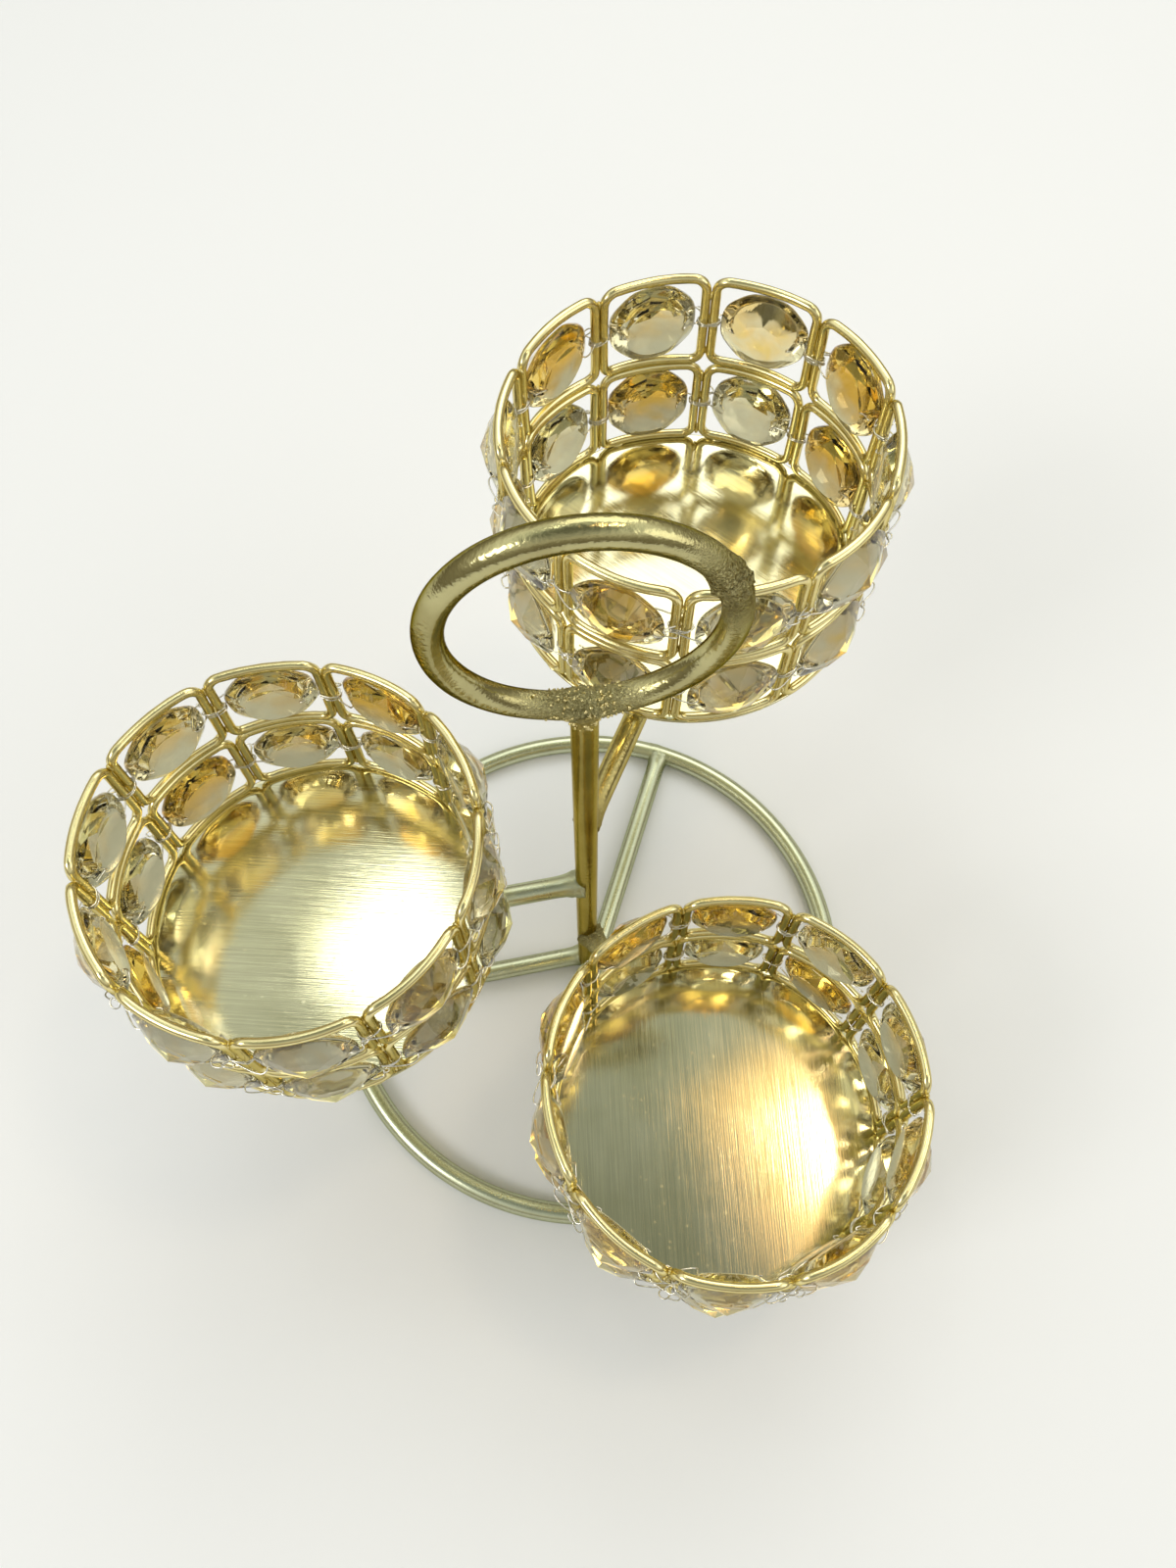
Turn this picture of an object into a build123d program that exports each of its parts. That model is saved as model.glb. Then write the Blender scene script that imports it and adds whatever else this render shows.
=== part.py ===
from build123d import *
from math import atan2, cos, degrees, radians, sin
import os

# Tiered stand for three tealights: a welded rod frame carries three openwork cups of wire cells with tied crystals.
# Millimetres, +Z up, origin on the post's axis at the floor, +Y away from the viewer, azimuths counted from +X.

# Rod frame
ROD = 6.0
ROD_SIDES = 12
BASE_RADIUS = 84.0
BASE_STEPS = 54
HANDLE_RADIUS = 29.2
HANDLE_STEPS = 36
HANDLE_CENTRE = 215.3
HANDLE_TURN = 5.9
WELD_RADIUS = 4.2
WELD_REACH = 4.5
# Azimuth of each spoke and arm, and how far its axis passes to the right of the post's axis
SPOKES = {"left": (190.9, 1.9), "back": (72.4, 2.4), "front": (-49.0, 2.2)}
ARMS = {"low": (-56.5, 0.0), "middle": (190.6, 0.0), "top": (71.9, 1.6)}
ARM_HEIGHTS = {"low": 35.5, "middle": 79.7, "top": 119.1}
ARM_PAST_CUP = 9.0

# Cups: distance and azimuth of the centre from the post, and the azimuth of one seam between cells
CUPS = {"low": (71.6, -58.2, 103.6), "middle": (74.8, 189.3, 154.8), "top": (83.1, 70.2, 119.3)}
CUP_RADIUS = 48.4
CELLS_ROUND = 10
CELL_HEIGHT = 29.8
CELL_CORNER = 3.0
CELL_WIRE = 2.5
CELL_WIRE_SIDES = 6
DISC_RADIUS = 49.5
DISC_SIDES = 40
DISC_THICKNESS = 1.0

# Crystals: eight-sided, with a flat face towards the candle and a pointed back outward
CRYSTAL = 24.0
CRYSTAL_TABLE = 15.0
CRYSTAL_SIDES = 8
CROWN_DEPTH = 2.2
BACK_DEPTH = 7.2
CRYSTAL_INSET = 3.4

# Binding loops of thin wire, three turns high, round each pair of side wires
TIE_WIRE = 0.4
TIE_TURNS = 3
TIE_SLACK = 0.05

# Worked out from the sizes above
CELL_STEP = 360 / CELLS_ROUND
CELL_MIDDLE = (CELL_HEIGHT - CELL_WIRE) / 2
CELL_WIRE_CORNER = CELL_WIRE / 2 / cos(radians(180 / CELL_WIRE_SIDES))
WELD_TAPER = degrees(atan2(WELD_RADIUS - ROD / 2, WELD_REACH))


def rod_section(radius=ROD / 2):
    """Twelve-sided rod section with flats at the top and bottom, measured across its flats."""
    return RegularPolygon(radius, ROD_SIDES, major_radius=False, rotation=180 / ROD_SIDES)


def ring(radius, steps):
    """Rod bent to a closed ring about Z, in short straight steps."""
    turns = [radians(360 * step / steps) for step in range(steps)]
    path = Polyline([(radius * cos(turn), radius * sin(turn)) for turn in turns], close=True)
    start = Plane(origin=path @ 0, x_dir=(0, 0, 1), z_dir=path % 0)
    return sweep(start * rod_section(), path, transition=Transition.RIGHT)


def bar(length):
    """Straight rod along +X from the origin."""
    return extrude(Plane.YZ * rod_section(), length)


def weld():
    """Fillet of weld metal round a rod's end, widest at the origin and tapering along +X."""
    return extrude(Plane.YZ * rod_section(WELD_RADIUS), WELD_REACH, taper=WELD_TAPER)


def base_ring():
    return Pos(0, 0, ROD / 2) * ring(BASE_RADIUS, BASE_STEPS)


def handle_ring():
    upright = Rot(0, 0, HANDLE_TURN) * Rot(90, 0, 0)
    return Pos(0, 0, HANDLE_CENTRE) * upright * ring(HANDLE_RADIUS, HANDLE_STEPS)


def post(handle):
    """Upright from the floor to the underside of the handle, coped to it inside a weld fillet."""
    top = HANDLE_CENTRE - HANDLE_RADIUS - 0.6 * ROD / 2
    upright = Rot(0, -90, 0) * bar(top)
    fillet = Pos(0, 0, top) * Rot(0, 90, 0) * weld()
    return upright + fillet - handle


def spoke(azimuth, beside, upright, rim):
    """Floor rod from the side of the post to the inside of the base ring."""
    laid = Rot(0, 0, azimuth) * Pos(0, -beside, ROD / 2) * bar(BASE_RADIUS)
    return laid - upright - rim


def arm(azimuth, beside, height, length, upright):
    """Level rod from the post to past the centre of its cup, with a weld fillet at the post."""
    welded = bar(length) + Pos(ROD / 2) * weld()
    return Rot(0, 0, azimuth) * Pos(0, -beside, height) * welded - upright


def cell():
    """Round-cornered frame of wire for the cell at azimuth 0, folded once so that its bars follow the cup.

    Half of the frame lies on the plane from the middle of the cell to its side bar, and is mirrored."""
    # A side bar's flats lean a little from the seam, so its centre stands off by more than half the wire
    side_offset = 1.085 * CELL_WIRE / 2
    side_turn = radians(CELL_STEP / 2) - side_offset / CUP_RADIUS
    middle = Vector(CUP_RADIUS, 0, 0)
    side = Vector(CUP_RADIUS * cos(side_turn), CUP_RADIUS * sin(side_turn), 0)
    along = (side - middle).normalized()
    fold = Plane(origin=middle, x_dir=along, z_dir=along.cross(Vector(0, 0, 1)))
    width = (side - middle).length
    height = CELL_HEIGHT - CELL_WIRE
    past = CELL_WIRE_CORNER
    wire = Polyline(
        (-past, 0),
        (width - CELL_CORNER, 0),
        (width, CELL_CORNER),
        (width, height - CELL_CORNER),
        (width - CELL_CORNER, height),
        (-past, height),
    )
    start = Plane(origin=(-past, 0, 0), x_dir=(0, 0, 1), z_dir=(1, 0, 0))
    section = start * RegularPolygon(CELL_WIRE / 2, CELL_WIRE_SIDES, major_radius=False)
    frame = fold * sweep(section, wire, transition=Transition.RIGHT)
    half = split(frame, bisect_by=Plane.XZ, keep=Keep.BOTTOM)
    return half + mirror(half, Plane.XZ)


def crystal():
    """Cut crystal for the cell at azimuth 0, its facets cut one by one from an eight-sided blank."""
    rim = CRYSTAL / 2
    blank = RegularPolygon(rim, CRYSTAL_SIDES, major_radius=False, rotation=180 / CRYSTAL_SIDES)
    stone = extrude(blank, CROWN_DEPTH + BACK_DEPTH)
    bevel = rim - CRYSTAL_TABLE / 2
    for side in range(CRYSTAL_SIDES):
        turn = radians(360 * side / CRYSTAL_SIDES)
        edge = Vector(rim * cos(turn), rim * sin(turn), CROWN_DEPTH)
        crown = Vector(CROWN_DEPTH * cos(turn), CROWN_DEPTH * sin(turn), -bevel)
        back = Vector(BACK_DEPTH * cos(turn), BACK_DEPTH * sin(turn), rim)
        for facet in (crown, back):
            stone = split(stone, bisect_by=Plane(origin=edge, z_dir=facet), keep=Keep.BOTTOM)
    seat = Plane(origin=(CUP_RADIUS - CRYSTAL_INSET, 0, CELL_MIDDLE), x_dir=(0, 1, 0), z_dir=(1, 0, 0))
    return seat * stone


def tie():
    """Binding loop for the seam at azimuth 0, between the crystals and round the two side wires."""
    half_step = radians(CELL_STEP / 2)
    rim_radius = CUP_RADIUS - CRYSTAL_INSET + CROWN_DEPTH
    reach = rim_radius * sin(half_step) - CRYSTAL / 2 * cos(half_step)
    opening = Rectangle(2 * (CELL_WIRE_CORNER + TIE_SLACK), 2 * (reach - TIE_WIRE))
    loop = Rectangle(2 * (CELL_WIRE_CORNER + TIE_SLACK + TIE_WIRE), 2 * reach) - opening
    height = TIE_TURNS * TIE_WIRE
    return Pos(CUP_RADIUS, 0, CELL_MIDDLE - height / 2) * extrude(loop, height)


def around(piece, centre, height, first):
    """Copies of a piece made at azimuth 0, one for each cell of a row, clockwise from the first azimuth."""
    turns = [first - CELL_STEP * place for place in range(CELLS_ROUND)]
    return [Pos(centre.X, centre.Y, height) * Rot(0, 0, turn) * piece for turn in turns]


def cup(name, frame, glass, binding):
    """Disc, two rows of cells, their crystals and the binding loops of one cup, by node name."""
    distance, azimuth, seam = CUPS[name]
    centre = Vector(distance * cos(radians(azimuth)), distance * sin(radians(azimuth)), 0)
    under_disc = ARM_HEIGHTS[name] + ROD / 2
    disc = extrude(RegularPolygon(DISC_RADIUS, DISC_SIDES, rotation=seam), DISC_THICKNESS)
    lower = under_disc + DISC_THICKNESS + CELL_WIRE / 2
    rows = {"lower": lower, "upper": lower + CELL_HEIGHT}
    nodes = {f"{name}_cup_disc": Pos(centre.X, centre.Y, under_disc) * disc}
    ties = []
    for row, height in rows.items():
        middle = seam - CELL_STEP / 2
        nodes[f"{name}_cup_{row}_cells"] = Compound(around(frame, centre, height, middle))
        nodes[f"{name}_cup_{row}_crystals"] = Compound(around(glass, centre, height, middle))
        ties += around(binding, centre, height, seam)
    nodes[f"{name}_cup_ties"] = Compound(ties)
    return nodes


def stand():
    """Every piece of the stand, by node name."""
    rim = base_ring()
    handle = handle_ring()
    upright = post(handle)
    nodes = {"base_ring": rim, "handle_ring": handle, "post": upright}
    for name, (azimuth, beside) in SPOKES.items():
        nodes[f"{name}_spoke"] = spoke(azimuth, beside, upright, rim)
    frame, glass, binding = cell(), crystal(), tie()
    for name, (azimuth, beside) in ARMS.items():
        length = CUPS[name][0] + ARM_PAST_CUP
        nodes[f"{name}_arm"] = arm(azimuth, beside, ARM_HEIGHTS[name], length, upright)
        nodes.update(cup(name, frame, glass, binding))
    return nodes


os.makedirs("parts", exist_ok=True)
for node, piece in stand().items():
    export_step(piece, f"parts/{node}.step")
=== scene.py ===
import math

import bpy
import numpy as np
from bpy.props import FloatProperty, FloatVectorProperty, IntProperty, PointerProperty
from mathutils import Matrix, Vector


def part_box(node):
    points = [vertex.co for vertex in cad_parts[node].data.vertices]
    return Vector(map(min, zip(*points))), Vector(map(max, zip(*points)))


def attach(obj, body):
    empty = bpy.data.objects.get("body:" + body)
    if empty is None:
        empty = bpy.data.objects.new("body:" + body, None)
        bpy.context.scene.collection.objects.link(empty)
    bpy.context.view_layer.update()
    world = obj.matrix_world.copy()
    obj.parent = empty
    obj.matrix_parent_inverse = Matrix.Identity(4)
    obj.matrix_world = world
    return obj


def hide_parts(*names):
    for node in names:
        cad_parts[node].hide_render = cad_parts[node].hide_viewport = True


bl_info = {
    "name": "Tiered Tealight Stand",
    "version": (1, 0, 0),
    "blender": (4, 5, 0),
    "location": "View3D > Sidebar > Stand",
    "description": "Builds the looks of a welded tealight stand with crystal cups",
    "category": "Object",
}

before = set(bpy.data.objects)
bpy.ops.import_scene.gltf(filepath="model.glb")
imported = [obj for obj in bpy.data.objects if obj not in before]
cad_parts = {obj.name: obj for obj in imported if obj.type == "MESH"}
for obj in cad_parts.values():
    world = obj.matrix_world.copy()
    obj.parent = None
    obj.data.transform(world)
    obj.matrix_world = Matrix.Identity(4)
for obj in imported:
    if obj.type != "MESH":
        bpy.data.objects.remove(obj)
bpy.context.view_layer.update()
MM = 0.001
BODY = "root"

# Azimuth of each spoke and arm in degrees, and how far its axis passes to the right of the post's
SPOKES = {"left": (190.9, 1.9 * MM), "back": (72.4, 2.4 * MM), "front": (-49.0, 2.2 * MM)}
ARMS = {"low": (-56.5, 0.0), "middle": (190.6, 0.0), "top": (66.8, -0.4 * MM)}
HANDLE_TURN = math.radians(5.9)

# Azimuth in degrees of one seam of each cup, the cup's seed, and the turn of its disc's brush lines
SEAMS = {"low": 103.6, "middle": 154.8, "top": 119.3}
CUP_SEEDS = {"low": 11, "middle": 23, "top": 37}
BRUSH_TURNS = {"low": math.radians(88), "middle": math.radians(4), "top": math.radians(40)}

# Places in each row of the stones with a strong amber flash, and the stone that is tied in face about
AMBER_STONES = {
    "top": {"upper": (2, 9), "lower": (0, 2)},
    "middle": {"upper": (2,), "lower": (0, 8)},
    "low": {"upper": (0, 8, 9), "lower": (1, 7)},
}
FLIPPED_STONE = ("top", "upper", 1)
# Colour of the painted shade in the stones: the dark refraction of the surroundings, painted into the glass
PAINTED_SHADE_COLOUR = (0.12, 0.115, 0.075)

# Weld marks: length along the rod, swell, and how rough and how dark the metal is there
BASE_MARK = (3.5 * MM, 0.15 * MM, 0.5, 0.5)
BASE_CLOSURE = math.radians(-20)
HANDLE_FOOT = -math.pi / 2
HANDLE_CLOSURE = math.radians(24)
HANDLE_MARKS = {
    HANDLE_FOOT: (8.5 * MM, 0.50 * MM, 1.0, 0.0),
    HANDLE_CLOSURE: (8.5 * MM, 0.45 * MM, 0.7, 0.9),
}

# Where a rod starts inside the post, sides of its section, and its gap to the floor
ROD_STARTS = 1.0 * MM
ROD_SIDES = 24
OFF_FLOOR = 0.05 * MM
RING_OFF_FLOOR = 0.03 * MM


def length(name, description, default):
    """Setting in metres."""
    return FloatProperty(name=name, description=description, default=default, unit="LENGTH")


def tint(name, description, default):
    """Colour setting."""
    return FloatVectorProperty(name=name, description=description, default=default, subtype="COLOR")


class FrameSettings(bpy.types.PropertyGroup):
    rod: length("Rod", "Rod diameter", 0.0063)
    weld: length("Weld", "Radius of a weld at the post", 0.0043)
    # One plating for the whole frame: deep is its darker copy, painted shade, and pale its paler, greener
    # copy, painted sky light.
    deep: tint("Deep gold", "Plating of the post and top arm", (0.52, 0.44, 0.18))
    gold: tint("Gold", "Plating of the handle and the low arm", (0.53, 0.485, 0.245))
    pale_painted_sky_light: tint("Pale gold", "Plating of the base and the middle arm", (0.62, 0.645, 0.455))


class CupSettings(bpy.types.PropertyGroup):
    radius: length("Radius", "Circle of the cell wires", 0.0484)
    cells: IntProperty(name="Cells", description="Cells in a row", default=10, min=3)
    pitch: length("Pitch", "Height of a row", 0.0298)
    wire: length("Wire", "Cell wire diameter", 0.0025)
    corner: length("Corner", "Bend radius of a corner", 0.0034)
    disc: length("Disc", "Disc radius", 0.0492)
    wire_colour: tint("Wire gold", "Plating of the cells", (0.88, 0.775, 0.41))
    disc_colour: tint("Disc brass", "Brushed disc", (0.83, 0.775, 0.53))


class CrystalSettings(bpy.types.PropertyGroup):
    across: length("Across", "Width across the flats", 0.0238)
    table: length("Table", "Width of the flat face", 0.0150)
    crown: length("Crown", "Depth of the crown", 0.0030)
    girdle: length("Girdle", "Height of the girdle", 0.0008)
    depth: length("Depth", "Whole depth", 0.0094)
    inset: length("Inset", "Table inward of the wires", 0.0034)
    hole: length("Hole", "Hole radius", 0.00085)
    hole_place: length("Hole place", "Hole from the middle", 0.0084)
    tie: length("Tie", "Tie wire diameter", 0.00042)
    tie_colour: tint("Tie metal", "Drawn wire of the ties", (0.86, 0.84, 0.78))
    clear: tint("Clear", "Clear crystal", (0.93, 0.88, 0.59))
    amber: tint("Amber", "Amber flash", (0.99, 0.57, 0.06))


class StageSettings(bpy.types.PropertyGroup):
    eye: FloatVectorProperty(
        name="Eye", description="Camera place", subtype="TRANSLATION", default=(0.00065, -0.1207, 0.4052)
    )
    pitch: FloatProperty(name="Pitch", description="Dip", subtype="ANGLE", default=math.radians(64.98))
    roll: FloatProperty(name="Roll", description="Camera roll", subtype="ANGLE", default=0.0076)
    lens: FloatProperty(name="Lens", description="Focal length for a 36 mm tall sensor", default=27.46)
    floor: length("Floor", "Floor half width", 1.3)


def settings(name):
    return getattr(bpy.context.scene, "stand_" + name)


# Geometry


def unit(vectors):
    """Each row divided by its own length."""
    return vectors / np.linalg.norm(vectors, axis=-1, keepdims=True)


def grid_quads(rows, columns, close_rows=False):
    """Corner numbers of the quads of a grid stored row by row, with each row closed to a ring.

    With close_rows, the last row is joined to the first."""
    row = np.arange(rows if close_rows else rows - 1)
    here, across = np.meshgrid(row, np.arange(columns), indexing="ij")
    down, over = (here + 1) % rows, (across + 1) % columns
    corners = ((here, across), (here, over), (down, over), (down, across))
    return np.stack([(line * columns + place).ravel() for line, place in corners], axis=1)


def end_fans(rows, columns):
    """Triangles that close a grid's first and last ring to the two points stored after the grid."""
    here = np.arange(columns)
    over = (here + 1) % columns
    pole = rows * columns
    last = pole - columns
    start = np.stack([over, here, np.full(columns, pole)], 1)
    end = np.stack([last + here, last + over, np.full(columns, pole + 1)], 1)
    return np.vstack([start, end])


def tube(path, reference, radius, sides=16, closed=False):
    """Round section along a path: centre + r (cos a * side + sin a * up), where side = tangent x reference.

    radius is one number, or one for each path point and side. Fans close open ends."""
    if closed:
        tangent = unit(np.roll(path, -1, 0) - np.roll(path, 1, 0))
    else:
        tangent = unit(np.gradient(path, axis=0))
    side = unit(np.cross(tangent, np.broadcast_to(reference, path.shape)))
    up = np.cross(side, tangent)
    angle = np.arange(sides) * 2 * np.pi / sides
    size = np.broadcast_to(radius, (len(path), sides))
    ring = np.cos(angle)[None, :, None] * side[:, None] + np.sin(angle)[None, :, None] * up[:, None]
    points = (path[:, None] + size[..., None] * ring).reshape(-1, 3)
    faces = grid_quads(len(path), sides, close_rows=closed)
    if closed:
        return points, [faces]
    return np.vstack([points, path[0], path[-1]]), [faces, end_fans(len(path), sides)]


def lathe(profile, turns):
    """Profile of (radius, height) rows turned about Z; its first and last points are poles on the axis."""
    inner = profile[1:-1]
    angle = np.arange(turns) * 2 * np.pi / turns
    around = np.stack([np.cos(angle), np.sin(angle)], 1)
    flat = inner[:, None, :1] * around[None]
    height = np.broadcast_to(inner[:, None, 1:], flat.shape[:2] + (1,))
    points = np.concatenate([flat, height], 2).reshape(-1, 3)
    poles = np.array([[0, 0, profile[0, 1]], [0, 0, profile[-1, 1]]])
    return np.vstack([points, poles]), [grid_quads(len(inner), turns), end_fans(len(inner), turns)]


def beads(centres, axes, sizes, rng, rough=0.16, rows=9, columns=12):
    """Lumpy ellipsoids: a unit sphere's points pushed out by random waves, scaled and set on axes."""
    polar = np.linspace(0, np.pi, rows)[:, None]
    angle = np.arange(columns)[None] * 2 * np.pi / columns
    level = np.cos(polar) + 0 * angle
    ball = np.stack([np.sin(polar) * np.cos(angle), np.sin(polar) * np.sin(angle), level], 2).reshape(-1, 3)
    count = len(centres)
    waves = rng.normal(0, 2.2, (count, 3, 3))
    phases = rng.uniform(0, 2 * np.pi, (count, 3))
    lumps = np.sin(np.einsum("nwk,pk->npw", waves, ball) + phases[:, None]).mean(2)
    local = ball[None] * (1 + rough * lumps[..., None]) * sizes[:, None]
    points = np.einsum("npk,nkj->npj", local, axes) + centres[:, None]
    faces = grid_quads(rows, columns)
    return gather([(cloud, [faces]) for cloud in points])


def gather(shapes):
    """Several point clouds and their faces as one, with the corner numbers moved on."""
    points, faces, start = [], [], 0
    for cloud, groups in shapes:
        points.append(cloud)
        faces += [group + start for group in groups]
        start += len(cloud)
    return np.vstack(points), faces


def turned(points, angle):
    """Points turned about Z by an angle."""
    cos, sin = math.cos(angle), math.sin(angle)
    return points @ np.array([[cos, sin, 0], [-sin, cos, 0], [0, 0, 1]])


def eased(points, samples):
    """A smooth line through the points: Catmull-Rom, worked out at evenly spaced parameters."""
    padded = np.vstack([2 * points[0] - points[1], points, 2 * points[-1] - points[-2]])
    place = np.linspace(0, len(points) - 1 - 1e-9, samples)
    span = place.astype(int)
    t = (place - span)[:, None]
    a, b, c, d = (padded[span + k] for k in range(4))
    return 0.5 * (2 * b + (c - a) * t + (2 * a - 5 * b + 4 * c - d) * t**2 + (3 * b - a - 3 * c + d) * t**3)


def ripple(place, rng, waves=5, top=6.0):
    """A gentle random wave along a closed parameter from 0 to 1, between about -1 and 1."""
    counts = np.arange(1, waves + 1)
    size = rng.normal(0, 1, waves) / counts
    phase = rng.uniform(0, 2 * np.pi, waves)
    turns = np.round(counts * top / waves)
    return (size * np.sin(2 * np.pi * place[:, None] * turns + phase)).sum(-1)


def solid_mesh(name, shape, smooth=True):
    """Closed mesh of points and face groups, faced outward; smooth is one flag, or one for each face."""
    points, groups = shape
    mesh = bpy.data.meshes.new(name)
    mesh.from_pydata(points.tolist(), [], [row for group in groups for row in group.tolist()])
    mesh.polygons.foreach_set("use_smooth", np.array(np.broadcast_to(smooth, len(mesh.polygons))))
    face_outward(mesh)
    return mesh


def face_outward(mesh):
    """Flips a closed mesh whose volume, the sum of its corners' triple products, is negative."""
    mesh.calc_loop_triangles()
    corners = np.zeros(len(mesh.loop_triangles) * 3, np.int32)
    mesh.loop_triangles.foreach_get("vertices", corners)
    places = np.zeros(len(mesh.vertices) * 3)
    mesh.vertices.foreach_get("co", places)
    a, b, c = places.reshape(-1, 3)[corners.reshape(-1, 3)].transpose(1, 0, 2)
    if np.einsum("ij,ij->i", a, np.cross(b, c)).sum() < 0:
        mesh.flip_normals()
    mesh.update()


def linked(name, data):
    """New object of the scene."""
    made = bpy.data.objects.new(name, data)
    bpy.context.scene.collection.objects.link(made)
    return made


def piece(name, shape, material, nodes=(), smooth=True, values=None):
    """One object from points and faces, with values at its points, that rides on the stand."""
    mesh = solid_mesh(name, shape, smooth)
    for key, value in (values or {}).items():
        layer = mesh.attributes.new(key, "FLOAT", "POINT")
        layer.data.foreach_set("value", np.broadcast_to(value, len(shape[0])).astype(np.float32))
    mesh.materials.append(material)
    made = linked(name, mesh)
    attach(made, BODY)
    if nodes:
        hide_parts(*nodes)
    return made


# Places worked out from the frame


def cup_places():
    """Centre and disc top of each cup, from the box of its disc."""
    places = {}
    for name in SEAMS:
        low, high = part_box(f"{name}_cup_disc")
        places[name] = np.array([(low.x + high.x) / 2, (low.y + high.y) / 2, high.z])
    return places


def bunched(samples):
    """Shares from 0 to 1 that crowd at both ends, where the welds are: a cosine spacing."""
    return 0.5 - 0.5 * np.cos(np.linspace(0, np.pi, samples))


def rod_line(azimuth, beside, height, end):
    """Points of a level rod that leaves the post at an azimuth, a step to the right of its axis."""
    turn = math.radians(azimuth)
    along = np.array([math.cos(turn), math.sin(turn), 0])
    right = np.array([math.sin(turn), -math.cos(turn), 0])
    reach = ROD_STARTS + (end - ROD_STARTS) * bunched(80)
    return right * beside + along * reach[:, None] + np.array([0, 0, height])


# Materials


def feed(tree, made, feeds):
    """Gives each named or numbered input of a node its value, or the socket that feeds it."""
    for key, value in feeds.items():
        if isinstance(value, bpy.types.NodeSocket):
            tree.links.new(value, made.inputs[key])
        else:
            made.inputs[key].default_value = value


def node(tree, kind, place=(0, 0), feeds=None, **values):
    """New node at a place of the tree, with its own values and what goes into it."""
    made = tree.nodes.new(kind)
    made.location = place
    for key, value in values.items():
        setattr(made, key, value)
    feed(tree, made, feeds or {})
    return made


def object_place(tree, place):
    return node(tree, "ShaderNodeTexCoord", place).outputs["Object"]


def attribute(tree, place, name, output="Fac"):
    return node(tree, "ShaderNodeAttribute", place, attribute_name=name).outputs[output]


def noise(tree, place, vector, scale, detail, distortion=0.0):
    feeds = {"Vector": vector, "Scale": scale, "Detail": detail, "Distortion": distortion}
    return node(tree, "ShaderNodeTexNoise", place, feeds).outputs["Fac"]


def spots(tree, place, vector, scale):
    """Distance to the nearest of scattered points."""
    return node(tree, "ShaderNodeTexVoronoi", place, {"Vector": vector, "Scale": scale}).outputs["Distance"]


def worked(tree, place, operation, *terms):
    """Result of a math node on its terms in order."""
    return node(tree, "ShaderNodeMath", place, dict(enumerate(terms)), operation=operation).outputs[0]


def mapped(tree, place, value, low, high, start=0.0, end=1.0, curve="LINEAR"):
    """A value carried from low..high to start..end, and held there."""
    feeds = {"Value": value, "From Min": low, "From Max": high, "To Min": start, "To Max": end}
    return node(tree, "ShaderNodeMapRange", place, feeds, interpolation_type=curve).outputs["Result"]


def blended(tree, place, share, first, second):
    """Colour between two, nearer the second as the share grows."""
    feeds = {"Factor": share, "A": first, "B": second}
    return node(tree, "ShaderNodeMix", place, feeds, data_type="RGBA").outputs["Result"]


def relief(tree, place, height, strength, distance):
    feeds = {"Height": height, "Strength": strength, "Distance": distance}
    return node(tree, "ShaderNodeBump", place, feeds).outputs["Normal"]


def plating_group():
    """Shared finish: mottled colour and fine grain, pits where Weld is 1, dark spots where Dirt is 1."""
    name = "plated_metal"
    if name in bpy.data.node_groups:
        return bpy.data.node_groups[name]
    group = bpy.data.node_groups.new(name, "ShaderNodeTree")
    colour = "NodeSocketColor"
    number = "NodeSocketFloat"
    inputs = {"Bright": (0.8, 0.7, 0.4, 1), "Dull": (0.4, 0.3, 0.1, 1), "Weld": 0.0, "Dirt": 0.0}
    for label, default in {**inputs, "Polish": 0.2, "Grain": 1.0}.items():
        kind = colour if isinstance(default, tuple) else number
        group.interface.new_socket(label, in_out="INPUT", socket_type=kind).default_value = default
    for label, kind in (("Color", colour), ("Roughness", number), ("Height", number)):
        group.interface.new_socket(label, in_out="OUTPUT", socket_type=kind)
    given = node(group, "NodeGroupInput", (-900, 0)).outputs
    out = node(group, "NodeGroupOutput", (900, 0))
    place = object_place(group, (-900, -300))
    mottle = noise(group, (-650, 200), place, 95, 5)
    fine = noise(group, (-650, -100), place, 900, 3)
    pits = spots(group, (-650, -400), place, 1500)
    grit = noise(group, (-650, -700), place, 2300, 4)
    shade = mapped(group, (-400, 200), mottle, 0.42, 0.68, end=0.30)
    rough_spots = mapped(group, (-400, -400), grit, 0.38, 0.62)
    weld_shade = worked(group, (-200, 0), "MULTIPLY", rough_spots, given["Weld"])
    dirty = worked(group, (-200, 150), "MULTIPLY", rough_spots, given["Dirt"])
    dull = worked(group, (0, 100), "MAXIMUM", shade, dirty)
    mix = blended(group, (250, 200), dull, given["Bright"], given["Dull"])
    grain = worked(group, (0, -300), "MULTIPLY", fine, given["Grain"])
    spread = worked(group, (250, -50), "MULTIPLY_ADD", grain, 0.14, given["Polish"])
    rough = worked(group, (450, -50), "MULTIPLY_ADD", given["Weld"], 0.16, spread)
    pit_mask = worked(group, (-200, -500), "MULTIPLY", pits, weld_shade)
    pit_deep = worked(group, (0, -500), "MULTIPLY", pit_mask, 5.0)
    height = worked(group, (250, -350), "SUBTRACT", grain, pit_deep)
    feed(group, out, {"Color": mix, "Roughness": rough, "Height": height})
    return group


def blank_material(name):
    """New node material with one Principled shader."""
    made = bpy.data.materials.new(name)
    made.use_nodes = True
    tree = made.node_tree
    tree.nodes.clear()
    shader = node(tree, "ShaderNodeBsdfPrincipled", (500, 0))
    node(tree, "ShaderNodeOutputMaterial", (800, 0), {"Surface": shader.outputs["BSDF"]})
    return made, tree, shader


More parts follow.
